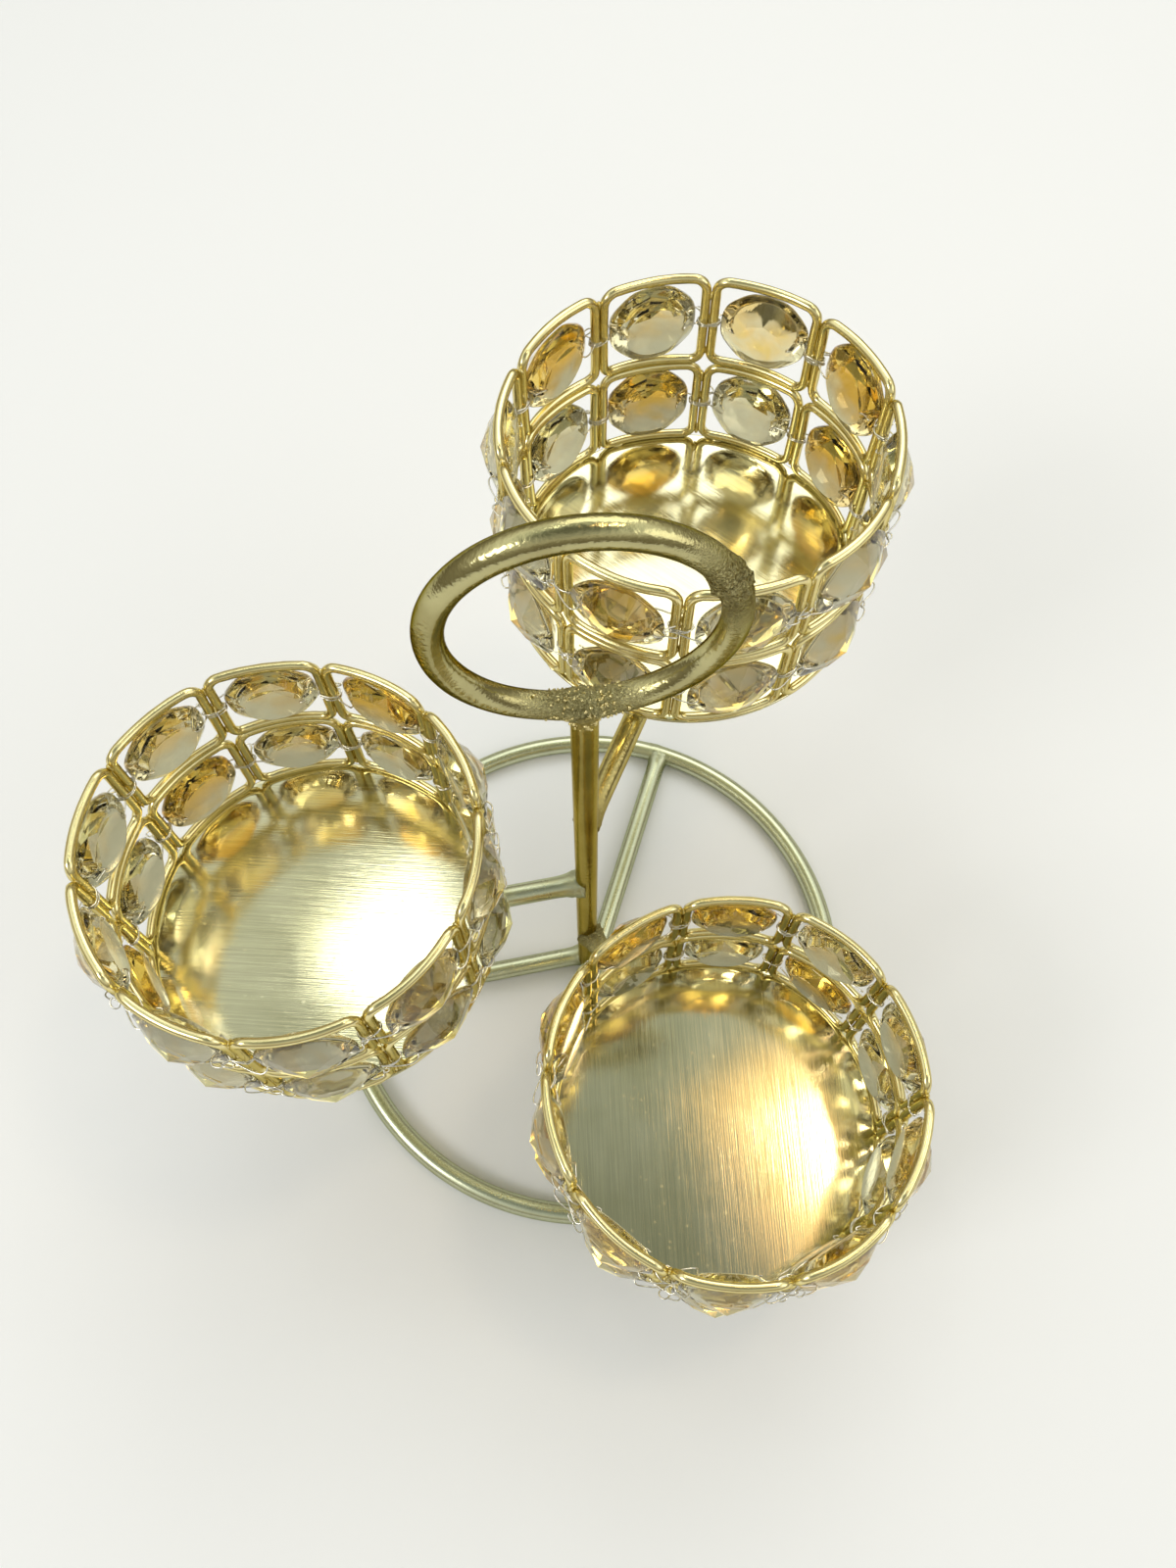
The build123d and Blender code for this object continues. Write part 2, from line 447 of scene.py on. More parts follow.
# Each plating: setting of its bright colour, dull colour, edge colour, polish, grain and bump
PLATINGS = {
    "frame_gold": ("frame", "gold", (0.18, 0.13, 0.04), (0.20, 0.16, 0.05), 0.11, 0.6, 0.9),
    # The post's and the base's platings take those copies: painted shade on the post and top arm, painted
    # sky light on the base, spokes and middle arm.
    "post_gold_painted_shade": ("frame", "deep", (0.16, 0.11, 0.03), (0.66, 0.56, 0.28), 0.11, 0.8, 0.5),
    "base_gold_painted_sky_light": ("frame", "pale_painted_sky_light", (0.46, 0.46, 0.29), (0.40, 0.42, 0.26), 0.26, 0.15, 0.04),
    "cell_gold": ("cup", "wire_colour", (0.56, 0.45, 0.18), (0.60, 0.52, 0.24), 0.17, 0.4, 0.12),
    "tie_metal": ("crystal", "tie_colour", (0.55, 0.52, 0.45), (0.5, 0.5, 0.5), 0.12, 0.4, 0.1),
}


def plated(name):
    """One of the platings: the shared finish's colour, roughness and height on a metallic shader."""
    if name in bpy.data.materials:
        return bpy.data.materials[name]
    group, colour, dull, edge, polish, grain, bump = PLATINGS[name]
    made, tree, shader = blank_material(name)
    given = {
        "Bright": (*getattr(settings(group), colour), 1),
        "Dull": (*dull, 1),
        "Polish": polish,
        "Grain": grain,
        "Weld": attribute(tree, (-250, -100), "weld"),
        "Dirt": attribute(tree, (-250, -300), "dirt"),
    }
    finish = node(tree, "ShaderNodeGroup", (0, 0), given, node_tree=plating_group()).outputs
    looks = {
        "Metallic": 1.0,
        "Specular Tint": (*edge, 1),
        "Base Color": finish["Color"],
        "Roughness": finish["Roughness"],
        "Normal": relief(tree, (250, -300), finish["Height"], bump, 0.2 * MM),
    }
    feed(tree, shader, looks)
    return made


def brushed_brass(colour):
    """Rolled sheet: long brush lines by the brush attribute, wide cloudy stains and small specks."""
    made, tree, shader = blank_material("brushed_brass")
    place = object_place(tree, (-900, 0))
    along = {"Vector": attribute(tree, (-900, -200), "brush", "Vector"), "Scale": (1.0, 60.0, 1.0)}
    stretch = node(tree, "ShaderNodeMapping", (-700, 0), along).outputs["Vector"]
    lines = noise(tree, (-500, 0), stretch, 45, 4)
    cloud = noise(tree, (-500, 300), place, 28, 4)
    specks = spots(tree, (-500, -300), place, 260)
    stain = mapped(tree, (-250, 300), cloud, 0.40, 0.66)
    stained = (colour[0] * 0.80, colour[1] * 0.80, colour[2] * 0.72, 1)
    sheet = blended(tree, (0, 200), stain, (*colour, 1), stained)
    line_shade = mapped(tree, (-250, 500), lines, 0.35, 0.65, start=0.86)
    lined_by = {0: sheet, "Scale": line_shade}
    lined = node(tree, "ShaderNodeVectorMath", (250, 300), lined_by, operation="SCALE")
    dust = mapped(tree, (-250, -300), specks, 0.16, 0.08)
    gloss = worked(tree, (0, -50), "MULTIPLY_ADD", lines, 0.11, 0.04)
    looks = {
        "Metallic": 1.0,
        "Base Color": lined.outputs["Vector"],
        "Roughness": worked(tree, (200, -100), "MULTIPLY_ADD", dust, 0.10, gloss),
        "Normal": relief(tree, (250, -400), lines, 0.16, 0.1 * MM),
    }
    feed(tree, shader, looks)
    return made


def cut_crystal(clear, amber):
    """Moulded glass with streaks of amber, and painted shade (the dark refraction seen through the stones)
    that is fainter on the outer side.
    """
    made, tree, shader = blank_material("cut_crystal")
    place = object_place(tree, (-1100, -200))
    streak = noise(tree, (-900, 300), place, 110, 2, distortion=0.8)
    share = worked(tree, (-700, 200), "ADD", attribute(tree, (-500, 100), "amber"), streak)
    stain = mapped(tree, (-250, 200), share, 0.62, 1.25, curve="SMOOTHSTEP")
    flash = blended(tree, (0, 100), stain, (*clear, 1), (*amber, 1))
    # Painted shade on the stones' backs, weaker where the outer side faces out
    side = node(tree, "ShaderNodeNewGeometry", (-250, 700)).outputs["Backfacing"]
    inside = mapped(tree, (0, 700), side, 0.0, 1.0, start=0.15)
    painted_shade = worked(tree, (150, 500), "MULTIPLY", attribute(tree, (-250, 500), "painted_shade"), inside)
    haze = noise(tree, (-500, -200), place, 160, 3)
    looks = {
        "Transmission Weight": 1.0,
        "IOR": 1.52,
        "Base Color": blended(tree, (250, 300), painted_shade, flash, (*PAINTED_SHADE_COLOUR, 1)),
        "Roughness": mapped(tree, (-250, -200), haze, 0.45, 0.75, 0.01, 0.10),
    }
    feed(tree, shader, looks)
    return made


# Frame pieces


def bulge(distance, reach):
    """Weld profile along a rod: 1 at the joint, falling off as a bell curve."""
    return np.exp(-((distance / reach) ** 2))


def round_ring(radius, centre_height, rng, upright_turn=None, scars=()):
    """Closed rod ring that swells and is rough or dark at its scars, (angle, reach, swell, weld, dirt)."""
    rod = settings("frame").rod / 2
    samples, sides = 320, ROD_SIDES
    around = np.arange(samples) / samples
    angle = around * 2 * np.pi
    wobble = radius + 0.12 * MM * ripple(around, rng, 4, 4)
    size = rod * (1 + 0.006 * ripple(around, rng, 6, 24))[:, None] * np.ones((1, sides))
    values = {"weld": np.zeros(samples), "dirt": np.zeros(samples)}
    for place, reach, swell, *shares in scars:
        apart = radius * np.abs((angle - place + np.pi) % (2 * np.pi) - np.pi)
        lumps = 1 + 0.7 * rng.normal(0, 1, (samples, sides))
        for key, share in zip(values, shares):
            values[key] = np.maximum(values[key], share * np.clip(1.6 * bulge(apart, reach), 0, 1))
        size = size + swell * bulge(apart, 0.5 * reach)[:, None] * lumps
    flat = np.stack([wobble * np.cos(angle), wobble * np.sin(angle), np.zeros(samples)], 1)
    points, faces = tube(flat, (0, 0, 1), size, sides, closed=True)
    if upright_turn is not None:
        points = turned(points[:, [0, 2, 1]] * np.array([1, -1, 1]), upright_turn)
    points = points + np.array([0, 0, centre_height])
    return (points, faces), {key: np.repeat(value, sides) for key, value in values.items()}


def welded_rod(line, rng, swell, reach, ends=(1, 0)):
    """Straight rod with a lumpy fillet of weld metal at each of its ends that has one."""
    along = np.linalg.norm(line - line[0], axis=1)
    rough = np.maximum(ends[0] * bulge(along, reach), ends[1] * bulge(along[-1] - along, reach))
    lumps = 1 + 0.22 * rng.normal(0, 1, (len(line), ROD_SIDES))
    size = settings("frame").rod / 2 + swell * rough[:, None] ** 1.5 * lumps
    level = abs(line[-1, 2] - line[0, 2]) < 0.001 * MM
    points, faces = tube(line, (0, 0, 1) if level else (0, 1, 0), size, ROD_SIDES)
    mask = np.concatenate([np.repeat(np.clip(1.5 * rough, 0, 1), ROD_SIDES), [0, 0]])
    return (points, faces), {"weld": mask, "dirt": 0.5 * mask}


class STAND_OT_base(bpy.types.Operator):
    """Base ring and its three spokes"""

    bl_idname = "stand.base"
    bl_label = "Base ring and spokes"

    def execute(self, context):
        rng = np.random.default_rng(5)
        low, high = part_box("base_ring")
        rod = settings("frame").rod / 2
        radius = (high.x - low.x) / 2 - rod
        ends = [math.radians(turn) for turn, _ in SPOKES.values()]
        scars = [(turn, *BASE_MARK) for turn in (*ends, BASE_CLOSURE)]
        ring, rough = round_ring(radius - 0.1 * MM, rod, rng, scars=scars)
        ring[0][:, 2] = np.maximum(ring[0][:, 2], RING_OFF_FLOOR)
        piece("round_base_ring", ring, plated("base_gold_painted_sky_light"), ["base_ring"], values=rough)
        for name, (azimuth, beside) in SPOKES.items():
            reach = math.sqrt(radius**2 - beside**2) - 0.3 * rod
            line = rod_line(azimuth, beside, rod, reach)
            shape, rough = welded_rod(line, rng, swell=0.7 * MM, reach=3.5 * MM, ends=(1, 1))
            shape[0][:, 2] = np.maximum(shape[0][:, 2], OFF_FLOOR)
            nodes = [f"{name}_spoke"]
            piece(f"round_{name}_spoke", shape, plated("base_gold_painted_sky_light"), nodes, values=rough)
        return {"FINISHED"}


class STAND_OT_post(bpy.types.Operator):
    """Post, arms and handle ring with their welds"""

    bl_idname = "stand.post"
    bl_label = "Post, arms and handle"

    def execute(self, context):
        rng = np.random.default_rng(8)
        rod = settings("frame").rod / 2
        low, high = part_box("handle_ring")
        radius = (high.z - low.z) / 2 - rod
        middle = (high.z + low.z) / 2
        height = OFF_FLOOR + (middle - radius) * bunched(200)
        line = height[:, None] * np.array([0, 0, 1])
        shape, rough = welded_rod(line, rng, swell=0.9 * MM, reach=4.2 * MM, ends=(0, 1))
        piece("round_post", shape, plated("post_gold_painted_shade"), ["post"], values=rough)
        scars = [(turn, *mark) for turn, mark in HANDLE_MARKS.items()]
        ring, rough = round_ring(radius, middle, rng, upright_turn=HANDLE_TURN, scars=scars)
        piece("round_handle", ring, plated("frame_gold"), ["handle_ring"], values=rough)
        for name, (azimuth, beside) in ARMS.items():
            low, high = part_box(f"{name}_arm")
            height = (low.z + high.z) / 2
            turn = math.radians(azimuth)
            reach = max(high.x * math.cos(turn), low.x * math.cos(turn)) / math.cos(turn) ** 2
            line = rod_line(azimuth, beside, height, abs(reach) - 2 * MM)
            swell = (0.5 if name == "top" else 1.0) * (settings("frame").weld - rod)
            shape, rough = welded_rod(line, rng, swell, reach=5.0 * MM)
            finish = plated({"top": "post_gold_painted_shade", "middle": "base_gold_painted_sky_light", "low": "frame_gold"}[name])
            piece(f"round_{name}_arm", shape, finish, [f"{name}_arm"], values=rough)
        grit = self.weld_grit(radius, middle, np.random.default_rng(9))
        piece("handle_weld_grit", grit, plated("cell_gold"), values={"weld": 0.0})
        return {"FINISHED"}

    def weld_grit(self, radius, middle, rng):
        """Grains of a spattered weld: tiny beads on the handle's foot and the post's top."""
        skin = settings("frame").rod / 2 + 0.15 * MM
        on_ring, on_post = 300, 90
        turn = HANDLE_FOOT + rng.normal(0, 4.2 * MM, on_ring) / radius
        round_rod = rng.uniform(0, 2 * np.pi, on_ring)
        out = radius + skin * np.cos(round_rod)
        ring = np.stack([out * np.cos(turn), -skin * np.sin(round_rod), out * np.sin(turn)], 1)
        ring = turned(ring, HANDLE_TURN) + np.array([0, 0, middle])
        round_post = rng.uniform(0, 2 * np.pi, on_post)
        height = middle - radius - skin - np.abs(rng.normal(0, 2.2 * MM, on_post))
        collar = np.stack([skin * np.cos(round_post), skin * np.sin(round_post), height], 1)
        grains = np.vstack([ring, collar])
        count = len(grains)
        sizes = rng.uniform(0.16 * MM, 0.42 * MM, (count, 1)) * rng.uniform(0.7, 1.3, (count, 3))
        axes = np.broadcast_to(np.eye(3), (count, 3, 3))
        return beads(grains, axes, sizes, rng, rough=0.3, rows=6, columns=8)


# Cup pieces

# Gap between cells, heights of the beads up a seam in half cells, and sizes of the beads
SEAM_GAP = 0.02 * MM
SEAM_WELDS = (0.24, 1.05, 1.76)
SEAM_BEAD = np.array([1.0, 0.5, 1.7]) * MM
DISC_BEAD = np.array([2.2, 1.2, 0.6]) * MM
CELL_SIDES = 14


def cell_path(rng):
    """One cell's wire in its own plane, (sideways, up): a rectangle with quarter-circle corners.

    Bars run straight between corners; two soft waves bend them as hand-bent wire is."""
    cup = settings("cup")
    half = math.pi * cup.radius / cup.cells - cup.wire / 2 - SEAM_GAP
    tall = (cup.pitch - cup.wire) / 2
    corner = cup.corner
    quarter = np.linspace(0, np.pi / 2, 9)
    corners = []
    for number, (x, y) in enumerate(((1, -1), (1, 1), (-1, 1), (-1, -1))):
        centre = np.array([x * (half - corner), y * (tall - corner)])
        turn = quarter + (number - 1) * np.pi / 2
        corners.append(centre + corner * np.stack([np.cos(turn), np.sin(turn)], 1))
    share = np.linspace(0, 1, 12)[1:-1, None]
    filled = []
    for bend, after in zip(corners, corners[1:] + corners[:1]):
        filled += [bend, bend[-1] + (after[0] - bend[-1]) * share]
    path = np.vstack(filled)
    share = np.arange(len(path)) / len(path)
    inward = 1 - 0.004 * np.abs(ripple(share, rng, 4, 8))
    return path * inward[:, None] + np.array([0, tall]), 0.18 * MM * ripple(share, rng, 4, 6)


def on_cup(sideways, up, out, centre, azimuth, height):
    """Places on a cup: an arc length sideways from an azimuth, a height, and a step out from the wires."""
    radius = settings("cup").radius
    turn = azimuth + sideways / radius
    reach = radius + out
    rise = height + up + 0 * turn
    return np.stack([centre[0] + reach * np.cos(turn), centre[1] + reach * np.sin(turn), rise], -1)


def set_on_cup(out, sideways, up, azimuth, centre):
    """Places given from the cup's axis at azimuth 0, turned to an azimuth and moved to the cup."""
    return turned(np.stack([out, sideways, up], 1), azimuth) + np.array([centre[0], centre[1], 0])


def cup_axes(azimuths):
    """Outward, sideways and upward directions at each azimuth, as the rows of a matrix."""
    cos, sin = np.cos(azimuths), np.sin(azimuths)
    none = 0 * cos
    rows = [np.stack(row, 1) for row in ((cos, sin, none), (-sin, cos, none), (none, none, none + 1))]
    return np.stack(rows, 1)


def cell_shape(centre, azimuth, height, rng):
    """Wire carried along a cell's path, which is wrapped on the cup's circle."""
    cup = settings("cup")
    path, bend = cell_path(rng)
    line = on_cup(path[:, 0], path[:, 1], bend, centre, azimuth, height)
    outward = line - np.array([centre[0], centre[1], 0])
    outward[:, 2] = 0
    size = cup.wire / 2 * (1 + 0.015 * rng.normal(0, 1, (len(line), CELL_SIDES)))
    return tube(line, unit(outward), size, CELL_SIDES, closed=True)


def row_azimuths(name):
    cup = settings("cup")
    step = 2 * math.pi / cup.cells
    return math.radians(SEAMS[name]) - step * (np.arange(cup.cells) + 0.5)


def row_heights(top_of_disc):
    cup = settings("cup")
    lowest = top_of_disc + cup.wire / 2
    return {"lower": lowest, "upper": lowest + cup.pitch}


class STAND_OT_cells(bpy.types.Operator):
    """Wire cells of the three cups, and the welds at their seams"""

    bl_idname = "stand.cells"
    bl_label = "Wire cells"

    def execute(self, context):
        cup = settings("cup")
        for name, centre in cup_places().items():
            rng = np.random.default_rng(CUP_SEEDS[name])
            for row, height in row_heights(centre[2]).items():
                cells = [cell_shape(centre, turn, height, rng) for turn in row_azimuths(name)]
                grain = np.clip(rng.normal(0.0, 0.08, len(cells)), 0, 0.15)
                values = {"weld": np.repeat(grain, len(cells[0][0]))}
                made, nodes = f"round_{name}_{row}_cells", [f"{name}_cup_{row}_cells"]
                piece(made, gather(cells), plated("cell_gold"), nodes, values=values)
            self.seam_welds(name, centre, rng)
        return {"FINISHED"}

    def seam_welds(self, name, centre, rng):
        """Lumps of weld metal in the groove between side wires, and between the rows and the disc."""
        cup = settings("cup")
        middle = (cup.pitch - cup.wire) / 2
        seams = np.repeat(row_azimuths(name) + math.pi / cup.cells, 6)
        rows = list(row_heights(centre[2]).values())
        base = np.tile(np.repeat(rows, 3), cup.cells)
        up = base + np.tile(SEAM_WELDS, 2 * cup.cells) * middle + rng.normal(0, 1.0 * MM, len(base))
        out = rng.choice([-1, 1], len(base)) * 0.35 * MM
        places = on_cup(rng.normal(0, 0.15 * MM, len(base)), up, out, centre, seams, 0)
        sizes = SEAM_BEAD * rng.uniform(0.6, 1.2, (len(seams), 3))
        welds = beads(places, cup_axes(seams), sizes, rng)
        piece(f"{name}_seam_welds", welds, plated("cell_gold"), values={"weld": 0.2})
        cells = np.repeat(row_azimuths(name), 2)
        sideways = np.tile([-0.3, 0.3], cup.cells) * cup.pitch
        places = on_cup(sideways, 0.4 * MM, 0, centre, cells, rows[0] - cup.wire / 2)
        sizes = DISC_BEAD * rng.uniform(0.7, 1.2, (len(cells), 3))
        welds = beads(places, cup_axes(cells)[:, [1, 0, 2]], sizes, rng)
        piece(f"{name}_disc_welds", welds, plated("cell_gold"), values={"weld": 0.2})


# Shares of the crown's width and depth down a stone's moulded front, from the table's edge to the girdle
CROWN_OUT = np.array([0.0, 0.07, 0.16, 0.50, 0.80, 0.92, 0.98, 1.0])
CROWN_DOWN = np.array([0.012, 0.05, 0.12, 0.42, 0.67, 0.80, 0.92, 1.0])
STONE_SIDES = 8
STONE_COLUMNS = 6 * STONE_SIDES


def octagon_reach(angle, softness=13):
    """Soft octagon whose flats touch a unit circle: its radius from the sum of |cos| to a power."""
    axes = np.arange(4) * np.pi / 4
    return (np.abs(np.cos(angle[:, None] - axes)) ** softness).sum(-1) ** (-1 / softness)


def stone_surface():
    """One stone, table down, along +Z: a smooth moulded front and a cut back.

    Front: a soft octagon scaled along a profile, flat over the table and rounding down to the girdle.
    Back: a fan of triangles to eight corners and then to the point, a star of narrow facets."""
    stone = settings("crystal")
    columns, sides = STONE_COLUMNS, STONE_SIDES
    side = columns // sides
    angle = np.arange(columns) * 2 * np.pi / columns
    flat, rim, under = stone.table / 2, stone.across / 2, stone.crown + stone.girdle
    reach = np.concatenate([[0.3 * flat, 0.97 * flat], flat + (rim - flat) * CROWN_OUT, [rim]])[:, None]
    depth = np.concatenate([[0, 0], stone.crown * CROWN_DOWN, [under]])[:, None]
    radius = reach * (1 + (octagon_reach(angle) - 1) * reach / rim)
    front = np.stack([radius * np.cos(angle), radius * np.sin(angle), depth + 0 * radius], 2)
    rows = len(reach)
    corner = np.arange(sides) * 2 * np.pi / sides
    middle = 0.50 * rim * np.stack([np.cos(corner), np.sin(corner)], 1)
    middle = np.hstack([middle, np.full((sides, 1), under + 0.66 * (stone.depth - under))])
    points = np.vstack([front.reshape(-1, 3), middle, [[0, 0, 0], [0, 0, stone.depth]]])
    last = (rows - 1) * columns
    first_middle = rows * columns
    pole, tip = first_middle + sides, first_middle + sides + 1
    here = np.arange(columns)
    over = (here + 1) % columns
    moulded = [grid_quads(rows, columns), np.stack([over, here, np.full(columns, pole)], 1)]
    nearest = ((here + side // 2) // side) % sides
    fan = np.stack([last + here, last + over, first_middle + nearest], 1)
    eight = np.arange(sides)
    after = (eight + 1) % sides
    kites = np.stack([last + eight * side + side // 2, first_middle + after, first_middle + eight], 1)
    star = np.stack([first_middle + eight, first_middle + after, np.full(sides, tip)], 1)
    return points, moulded, [fan, kites, star]


def crystal_mesh():
    """The stone's surface with two round holes cut through it by a boolean."""
    stone = settings("crystal")
    points, moulded, facets = stone_surface()
    soft = np.repeat([True, False], [sum(map(len, moulded)), sum(map(len, facets))])
    body = linked("stone", solid_mesh("stone", (points, moulded + facets), soft))
    through = np.linspace(-0.2, 1.2, 2)[:, None] * np.array([0, 0, stone.depth])
    lines = [np.array([side * stone.hole_place, 0, 0]) + through for side in (-1, 1)]
    holes = gather([tube(line, (0, 1, 0), stone.hole, 12) for line in lines])
    drill = linked("drill", solid_mesh("drill", holes))
    cut = body.modifiers.new("holes", "BOOLEAN")
    cut.operation = "DIFFERENCE"
    cut.solver = "EXACT"
    cut.object = drill
    bpy.context.view_layer.update()
    finished = bpy.data.meshes.new_from_object(body.evaluated_get(bpy.context.evaluated_depsgraph_get()))
    for made in (body, drill):
        bpy.data.objects.remove(made)
    return finished


def mesh_arrays(mesh):
    """Points, faces grouped by their number of corners, and whether each face, in that order, is smooth."""
    points = np.zeros(len(mesh.vertices) * 3)
    mesh.vertices.foreach_get("co", points)
    rows, flags = {}, {}
    for polygon in mesh.polygons:
        rows.setdefault(len(polygon.vertices), []).append(list(polygon.vertices))
        flags.setdefault(len(polygon.vertices), []).append(polygon.use_smooth)
    return points.reshape(-1, 3), [np.array(group) for group in rows.values()], sum(flags.values(), [])


class STAND_OT_crystals(bpy.types.Operator):
    """Cut crystals of the three cups"""

    bl_idname = "stand.crystals"
    bl_label = "Crystals"

    def execute(self, context):
        cup, stone = settings("cup"), settings("crystal")
        points, faces, soft = mesh_arrays(crystal_mesh())
        glass = cut_crystal(tuple(stone.clear), tuple(stone.amber))
        middle = (cup.pitch - cup.wire) / 2
        for name, centre in cup_places().items():
            rng = np.random.default_rng(CUP_SEEDS[name] + 1)
            for row, height in row_heights(centre[2]).items():
                stones, amber, painted_shade = [], [], []
                for place, turn in enumerate(row_azimuths(name)):
                    local = self.tilted(points, rng, (name, row, place) == FLIPPED_STONE)
                    out, up = cup.radius - stone.inset + local[:, 2], local[:, 1] + middle + height
                    stones.append((set_on_cup(out, local[:, 0], up, turn, centre), faces))
                    strong = place in AMBER_STONES[name][row]
                    share = rng.uniform(0.95, 1.2) if strong else rng.uniform(0.25, 0.60)
                    back = np.clip((points[:, 2] - stone.crown) / (stone.depth - stone.crown), 0, 1)
                    # Amber share: the listed stones' own strong flash, more towards each stone's back, and
                    # a rise towards its top that is a painted yellow-orange reflection.
                    rise = local[:, 1] / stone.across
                    amber.append(np.clip(share * (0.45 + 0.5 * back + 0.9 * rise), 0, 1))
                    # Painted shade: the dark refraction seen through each stone's back, painted into its
                    # colour and heavier towards its lower part.
                    low = np.clip(0.8 - 4.0 * rise, 0, 1)
                    painted_shade.append(np.clip(8 * back, 0, 1) * (0.05 + 0.95 * low) * rng.uniform(0.75, 1.0))
                made, nodes = f"cut_{name}_{row}_crystals", [f"{name}_cup_{row}_crystals"]
                values = {"amber": np.concatenate(amber), "painted_shade": np.concatenate(painted_shade)}
                piece(made, gather(stones), glass, nodes, soft * cup.cells, values)
        return {"FINISHED"}

    def tilted(self, points, rng, flipped):
        """A stone as it hangs: a small random turn about each axis, and face about if it is tied in so."""
        centre = np.array([0, 0, settings("crystal").depth * 0.35])
        local = points - centre
        if flipped:
            local = local * np.array([1, -1, -1])
        tilt = rng.normal(0, 1, 3) * np.radians([2.2, 2.2, 4.0])
        roll, pitch, yaw = (Matrix.Rotation(angle, 3, axis) for angle, axis in zip(tilt, "XYZ"))
        return local @ np.array(roll @ pitch @ yaw).T + centre


def tie_line(rng):
    """One binding in millimetres across, out and up from its seam, from one crystal's hole to the other's.

    A smooth line through flattened circles that rise round the side wires, and a loose loop outside."""
    cup = settings("cup")
    wire, half_cell = cup.wire / MM, math.pi * cup.radius / cup.cells / MM
    hole = half_cell - settings("crystal").hole_place / MM
    turns = rng.uniform(2.1, 3.1)
    samples = 26
    angle = np.linspace(0.25 * np.pi, (0.25 + 2 * turns) * np.pi, samples)
    wide = (wire + 0.45) * (1 + 0.06 * rng.normal(0, 1, samples))
    deep = (wire / 2 + 0.45) * (1 + 0.10 * rng.normal(0, 1, samples))
    rise = np.linspace(-1, 1, samples) * rng.uniform(0.4, 1.1) + rng.normal(0, 0.1, samples)
    wraps = np.stack([wide * np.sin(angle), deep * np.cos(angle), rise], 1)
    into = [[1.0 - hole, -3.0, 0.4], [-hole, -3.6, 0.0], [-hole, 0.0, 0.0]]
    into = np.array(into + [[0.4 - hole, 3.0, -0.4], [-hole / 2, 3.2, -0.8]])
    loop = rng.uniform(0.7, 1.7)
    back = [[hole / 2, 3.2, 0.8], [hole - 0.4, 3.0, 0.4], [hole, 0.0, 0.0], [hole, -3.7, 0.0]]
    back = np.array(back + [[hole - 1.2, -3.6, 0.9], [0.4 * hole, -2.2, 1.4]])
    spread = rng.normal(0, 0.28, (len(back), 3))
    curl_angle = np.linspace(0, 2.4 * np.pi, 9)[1:]
    out = 2.0 + rng.uniform(0.3, 0.8) * loop * (1 - np.cos(curl_angle))
    up = 1.2 + 0.5 * loop * np.sin(curl_angle * 0.7 + rng.uniform(0, 6))
    curl = np.stack([0.3 * hole + loop * np.sin(curl_angle), out, up], 1)
    path = np.vstack([into + rng.normal(0, 0.2, into.shape), wraps, curl, back + spread])
    if rng.random() < 0.5:
        path = path * np.array([-1, 1, 1])
    return eased(path, 170)


class STAND_OT_ties(bpy.types.Operator):
    """Thin wire bindings at every seam"""

    bl_idname = "stand.ties"
    bl_label = "Tie wires"

    def execute(self, context):
        cup, stone = settings("cup"), settings("crystal")
        middle = (cup.pitch - cup.wire) / 2
        off_every_tie = (0.13, 0.27, 0.95)
        for name, centre in cup_places().items():
            rng = np.random.default_rng(CUP_SEEDS[name] + 2)
            shapes = []
            for height in row_heights(centre[2]).values():
                for turn in row_azimuths(name) + math.pi / cup.cells:
                    line = tie_line(rng) * MM
                    up = line[:, 2] + height + middle + rng.normal(0, 0.6 * MM)
                    line = set_on_cup(cup.radius + line[:, 1], line[:, 0], up, turn, centre)
                    shapes.append(tube(line, off_every_tie, stone.tie / 2, 6))
            made, nodes = f"tied_{name}_wires", [f"{name}_cup_ties"]
            piece(made, gather(shapes), plated("tie_metal"), nodes, values={"weld": 0.0})
        return {"FINISHED"}


class STAND_OT_discs(bpy.types.Operator):
    """Brushed brass discs that close the cups"""

    bl_idname = "stand.discs"
    bl_label = "Discs"

    def execute(self, context):
        cup = settings("cup")
        brass = brushed_brass(tuple(cup.disc_colour))
        for name, centre in cup_places().items():
            low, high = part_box(f"{name}_cup_disc")
            rng = np.random.default_rng(CUP_SEEDS[name] + 3)
            points, faces = self.plate(cup.disc, high.z - low.z)
            away = np.hypot(points[:, 0], points[:, 1]) / cup.disc
            wave = rng.normal(0, 18, (5, 2)) * 1.6
            phase = rng.uniform(0, 2 * np.pi, 5)
            bent = np.sin(points[:, :2] @ wave.T + phase).mean(1) * 0.22 * MM
            points[:, 2] -= np.abs(bent) * (1 - away**4)
            points = points + np.array([centre[0], centre[1], low.z])
            shape, nodes = (points, faces), [f"{name}_cup_disc"]
            made = piece(f"brushed_{name}_disc", shape, brass, nodes)
            layer = made.data.attributes.new("brush", "FLOAT_VECTOR", "POINT")
            layer.data.foreach_set("vector", turned(points, BRUSH_TURNS[name]).astype(np.float32).ravel())
        return {"FINISHED"}

    def plate(self, radius, thick):
        """Plate turned from (radius, height) rows: flat underside, half-round edge and flat top."""
        half = thick / 2
        reach = radius * np.linspace(0, 1, 40) ** 0.8 - half
        reach = reach[reach > 0]
        edge = np.linspace(-np.pi / 2, np.pi / 2, 7)
        rim = np.stack([radius - half + half * np.cos(edge), half + half * np.sin(edge)], 1)
        under = np.stack([reach, np.zeros(len(reach))], 1)
        over = np.stack([reach[::-1], np.full(len(reach), thick)], 1)
        return lathe(np.vstack([[[0, 0]], under[:-1], rim, over[1:], [[0, thick]]]), 128)


# Stage

# Sky colours by the sine of the height, and the direction round which the sky is dim
SKY = (
    (0.0, (0.22, 0.20, 0.15)),
    (0.30, (0.32, 0.30, 0.23)),
    (0.52, (0.66, 0.65, 0.58)),
    (0.75, (0.98, 1.02, 0.97)),
    (0.92, (0.54, 0.58, 0.52)),
    (0.985, (0.38, 0.42, 0.38)),
)
DIM_WAY = (0, -0.42, 0.91)

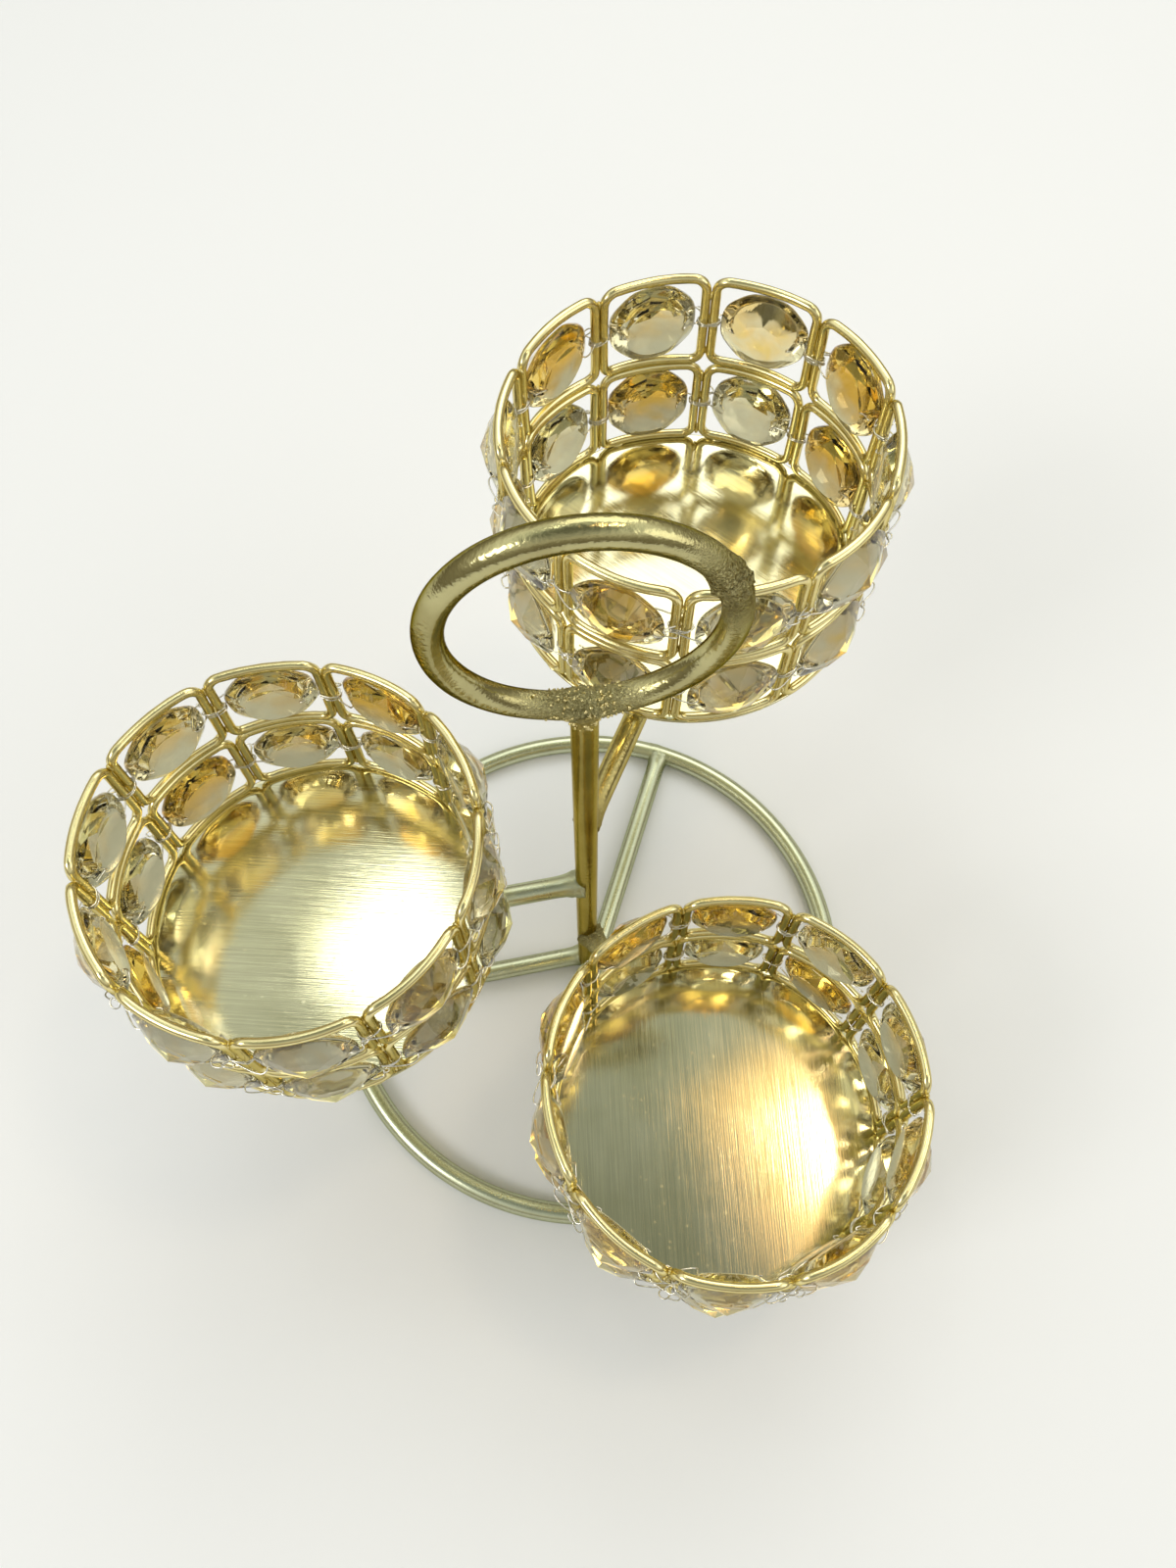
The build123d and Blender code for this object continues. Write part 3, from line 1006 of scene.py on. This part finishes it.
# Each lamp's place, side in metres, watts and colour, and the point that all of them face
LAMPS = {
    "left_lamp": ((-0.247, 0.322, 1.209), 0.13, 0.26, (0.97, 1.0, 0.95)),
    "right_lamp": ((0.362, 0.112, 1.200), 0.13, 0.75, (1.0, 0.86, 0.60)),
    "amber_lamp": ((0.310, 0.110, 1.230), 0.24, 0.26, (1.0, 0.58, 0.20)),
    "back_lamp": ((0.220, 0.856, 1.055), 0.80, 2.90, (1.0, 1.0, 0.92)),
    "key_lamp": ((-1.0, -0.6, 1.1), 0.5, 4.9, (1.0, 0.99, 0.95)),
    "fill_lamp": ((1.2, -0.3, 0.9), 0.8, 2.3, (1.0, 0.98, 0.92)),
}
LAMP_AIM = Vector((0, 0, 0.08))
FLOOR_COLOUR = (0.93, 0.93, 0.97, 1)


class STAND_OT_stage(bpy.types.Operator):
    """Pale floor, soft lamps and the camera"""

    bl_idname = "stand.stage"
    bl_label = "Stage"

    def execute(self, context):
        stage = settings("stage")
        self.floor(stage.floor)
        self.world()
        self.lamps()
        self.camera(stage)
        context.scene.view_settings.view_transform = "Standard"
        return {"FINISHED"}

    def floor(self, half):
        mesh = bpy.data.meshes.new("floor")
        corners = [(-half, -half, 0), (half, -half, 0), (half, half, 0), (-half, half, 0)]
        mesh.from_pydata(corners, [], [(0, 1, 2, 3)])
        made, tree, shader = blank_material("pale_floor")
        feed(tree, shader, {"Base Color": FLOOR_COLOUR, "Roughness": 0.9, "Specular IOR Level": 0.0})
        mesh.materials.append(made)
        ground = linked("floor", mesh)

    def world(self):
        """Sky by height: warm grey at the level, bright halfway up, dimmer overhead and by the camera."""
        world = bpy.data.worlds.new("studio")
        bpy.context.scene.world = world
        world.use_nodes = True
        tree = world.node_tree
        tree.nodes.clear()
        way = node(tree, "ShaderNodeTexCoord", (-900, 0)).outputs["Generated"]
        rise = node(tree, "ShaderNodeSeparateXYZ", (-700, 0), {0: way}).outputs["Z"]
        ramp = node(tree, "ShaderNodeValToRGB", (-500, 0), {"Fac": rise})
        stops = ramp.color_ramp.elements
        for stop, (height, colour) in zip(stops, (SKY[0], SKY[-1])):
            stop.position = height
            stop.color = (*colour, 1)
        for height, colour in SKY[1:-1]:
            stops.new(height).color = (*colour, 1)
        towards = {0: way, 1: DIM_WAY}
        near = node(tree, "ShaderNodeVectorMath", (-700, -300), towards, operation="DOT_PRODUCT")
        dim = mapped(tree, (-450, -300), near.outputs["Value"], 0.76, 0.97, 1.14, 0.50, "SMOOTHSTEP")
        sky = node(tree, "ShaderNodeBackground", (0, 0), {"Color": ramp.outputs["Color"], "Strength": dim})
        node(tree, "ShaderNodeOutputWorld", (300, 0), {"Surface": sky.outputs[0]})

    def lamps(self):
        for name, (place, size, power, colour) in LAMPS.items():
            lamp = bpy.data.lights.new(name, "AREA")
            lamp.size = size
            lamp.energy = power
            lamp.color = colour
            made = linked(name, lamp)
            made.location = place
            made.rotation_euler = (LAMP_AIM - Vector(place)).to_track_quat("-Z", "Y").to_euler()

    def camera(self, stage):
        """Camera that looks along +Y and down by the pitch, with the picture turned by the roll."""
        eye = bpy.data.cameras.new("eye")
        eye.sensor_fit = "VERTICAL"
        eye.sensor_height = 36.0
        eye.lens = stage.lens
        eye.clip_start = 0.01
        made = linked("eye", eye)
        turn = Matrix.Rotation(math.pi / 2 - stage.pitch, 4, "X") @ Matrix.Rotation(-stage.roll, 4, "Z")
        made.matrix_world = Matrix.Translation(Vector(stage.eye)) @ turn
        bpy.context.scene.camera = made


class STAND_PT_panel(bpy.types.Panel):
    """Sizes, colours and the pieces to build"""

    bl_idname = "STAND_PT_panel"
    bl_label = "Tealight stand"
    bl_space_type = "VIEW_3D"
    bl_region_type = "UI"
    bl_category = "Stand"

    def draw(self, context):
        for group, kind in GROUPS.items():
            box = self.layout.box()
            box.label(text=group.capitalize())
            for key in kind.__annotations__:
                box.prop(settings(group), key)
        for step in STEPS:
            self.layout.operator(step.bl_idname)


GROUPS = {"frame": FrameSettings, "cup": CupSettings, "crystal": CrystalSettings, "stage": StageSettings}
STEPS = (STAND_OT_stage, STAND_OT_base, STAND_OT_post, STAND_OT_discs)
STEPS += (STAND_OT_cells, STAND_OT_crystals, STAND_OT_ties)
CLASSES = (*GROUPS.values(), *STEPS, STAND_PT_panel)


def register():
    for kind in CLASSES:
        bpy.utils.register_class(kind)
    for group, kind in GROUPS.items():
        setattr(bpy.types.Scene, "stand_" + group, PointerProperty(type=kind))


def unregister():
    for group in GROUPS:
        delattr(bpy.types.Scene, "stand_" + group)
    for kind in reversed(CLASSES):
        bpy.utils.unregister_class(kind)


def main():
    register()
    for step in STEPS:
        group, name = step.bl_idname.split(".")
        getattr(getattr(bpy.ops, group), name)()


if __name__ == "__main__":
    main()
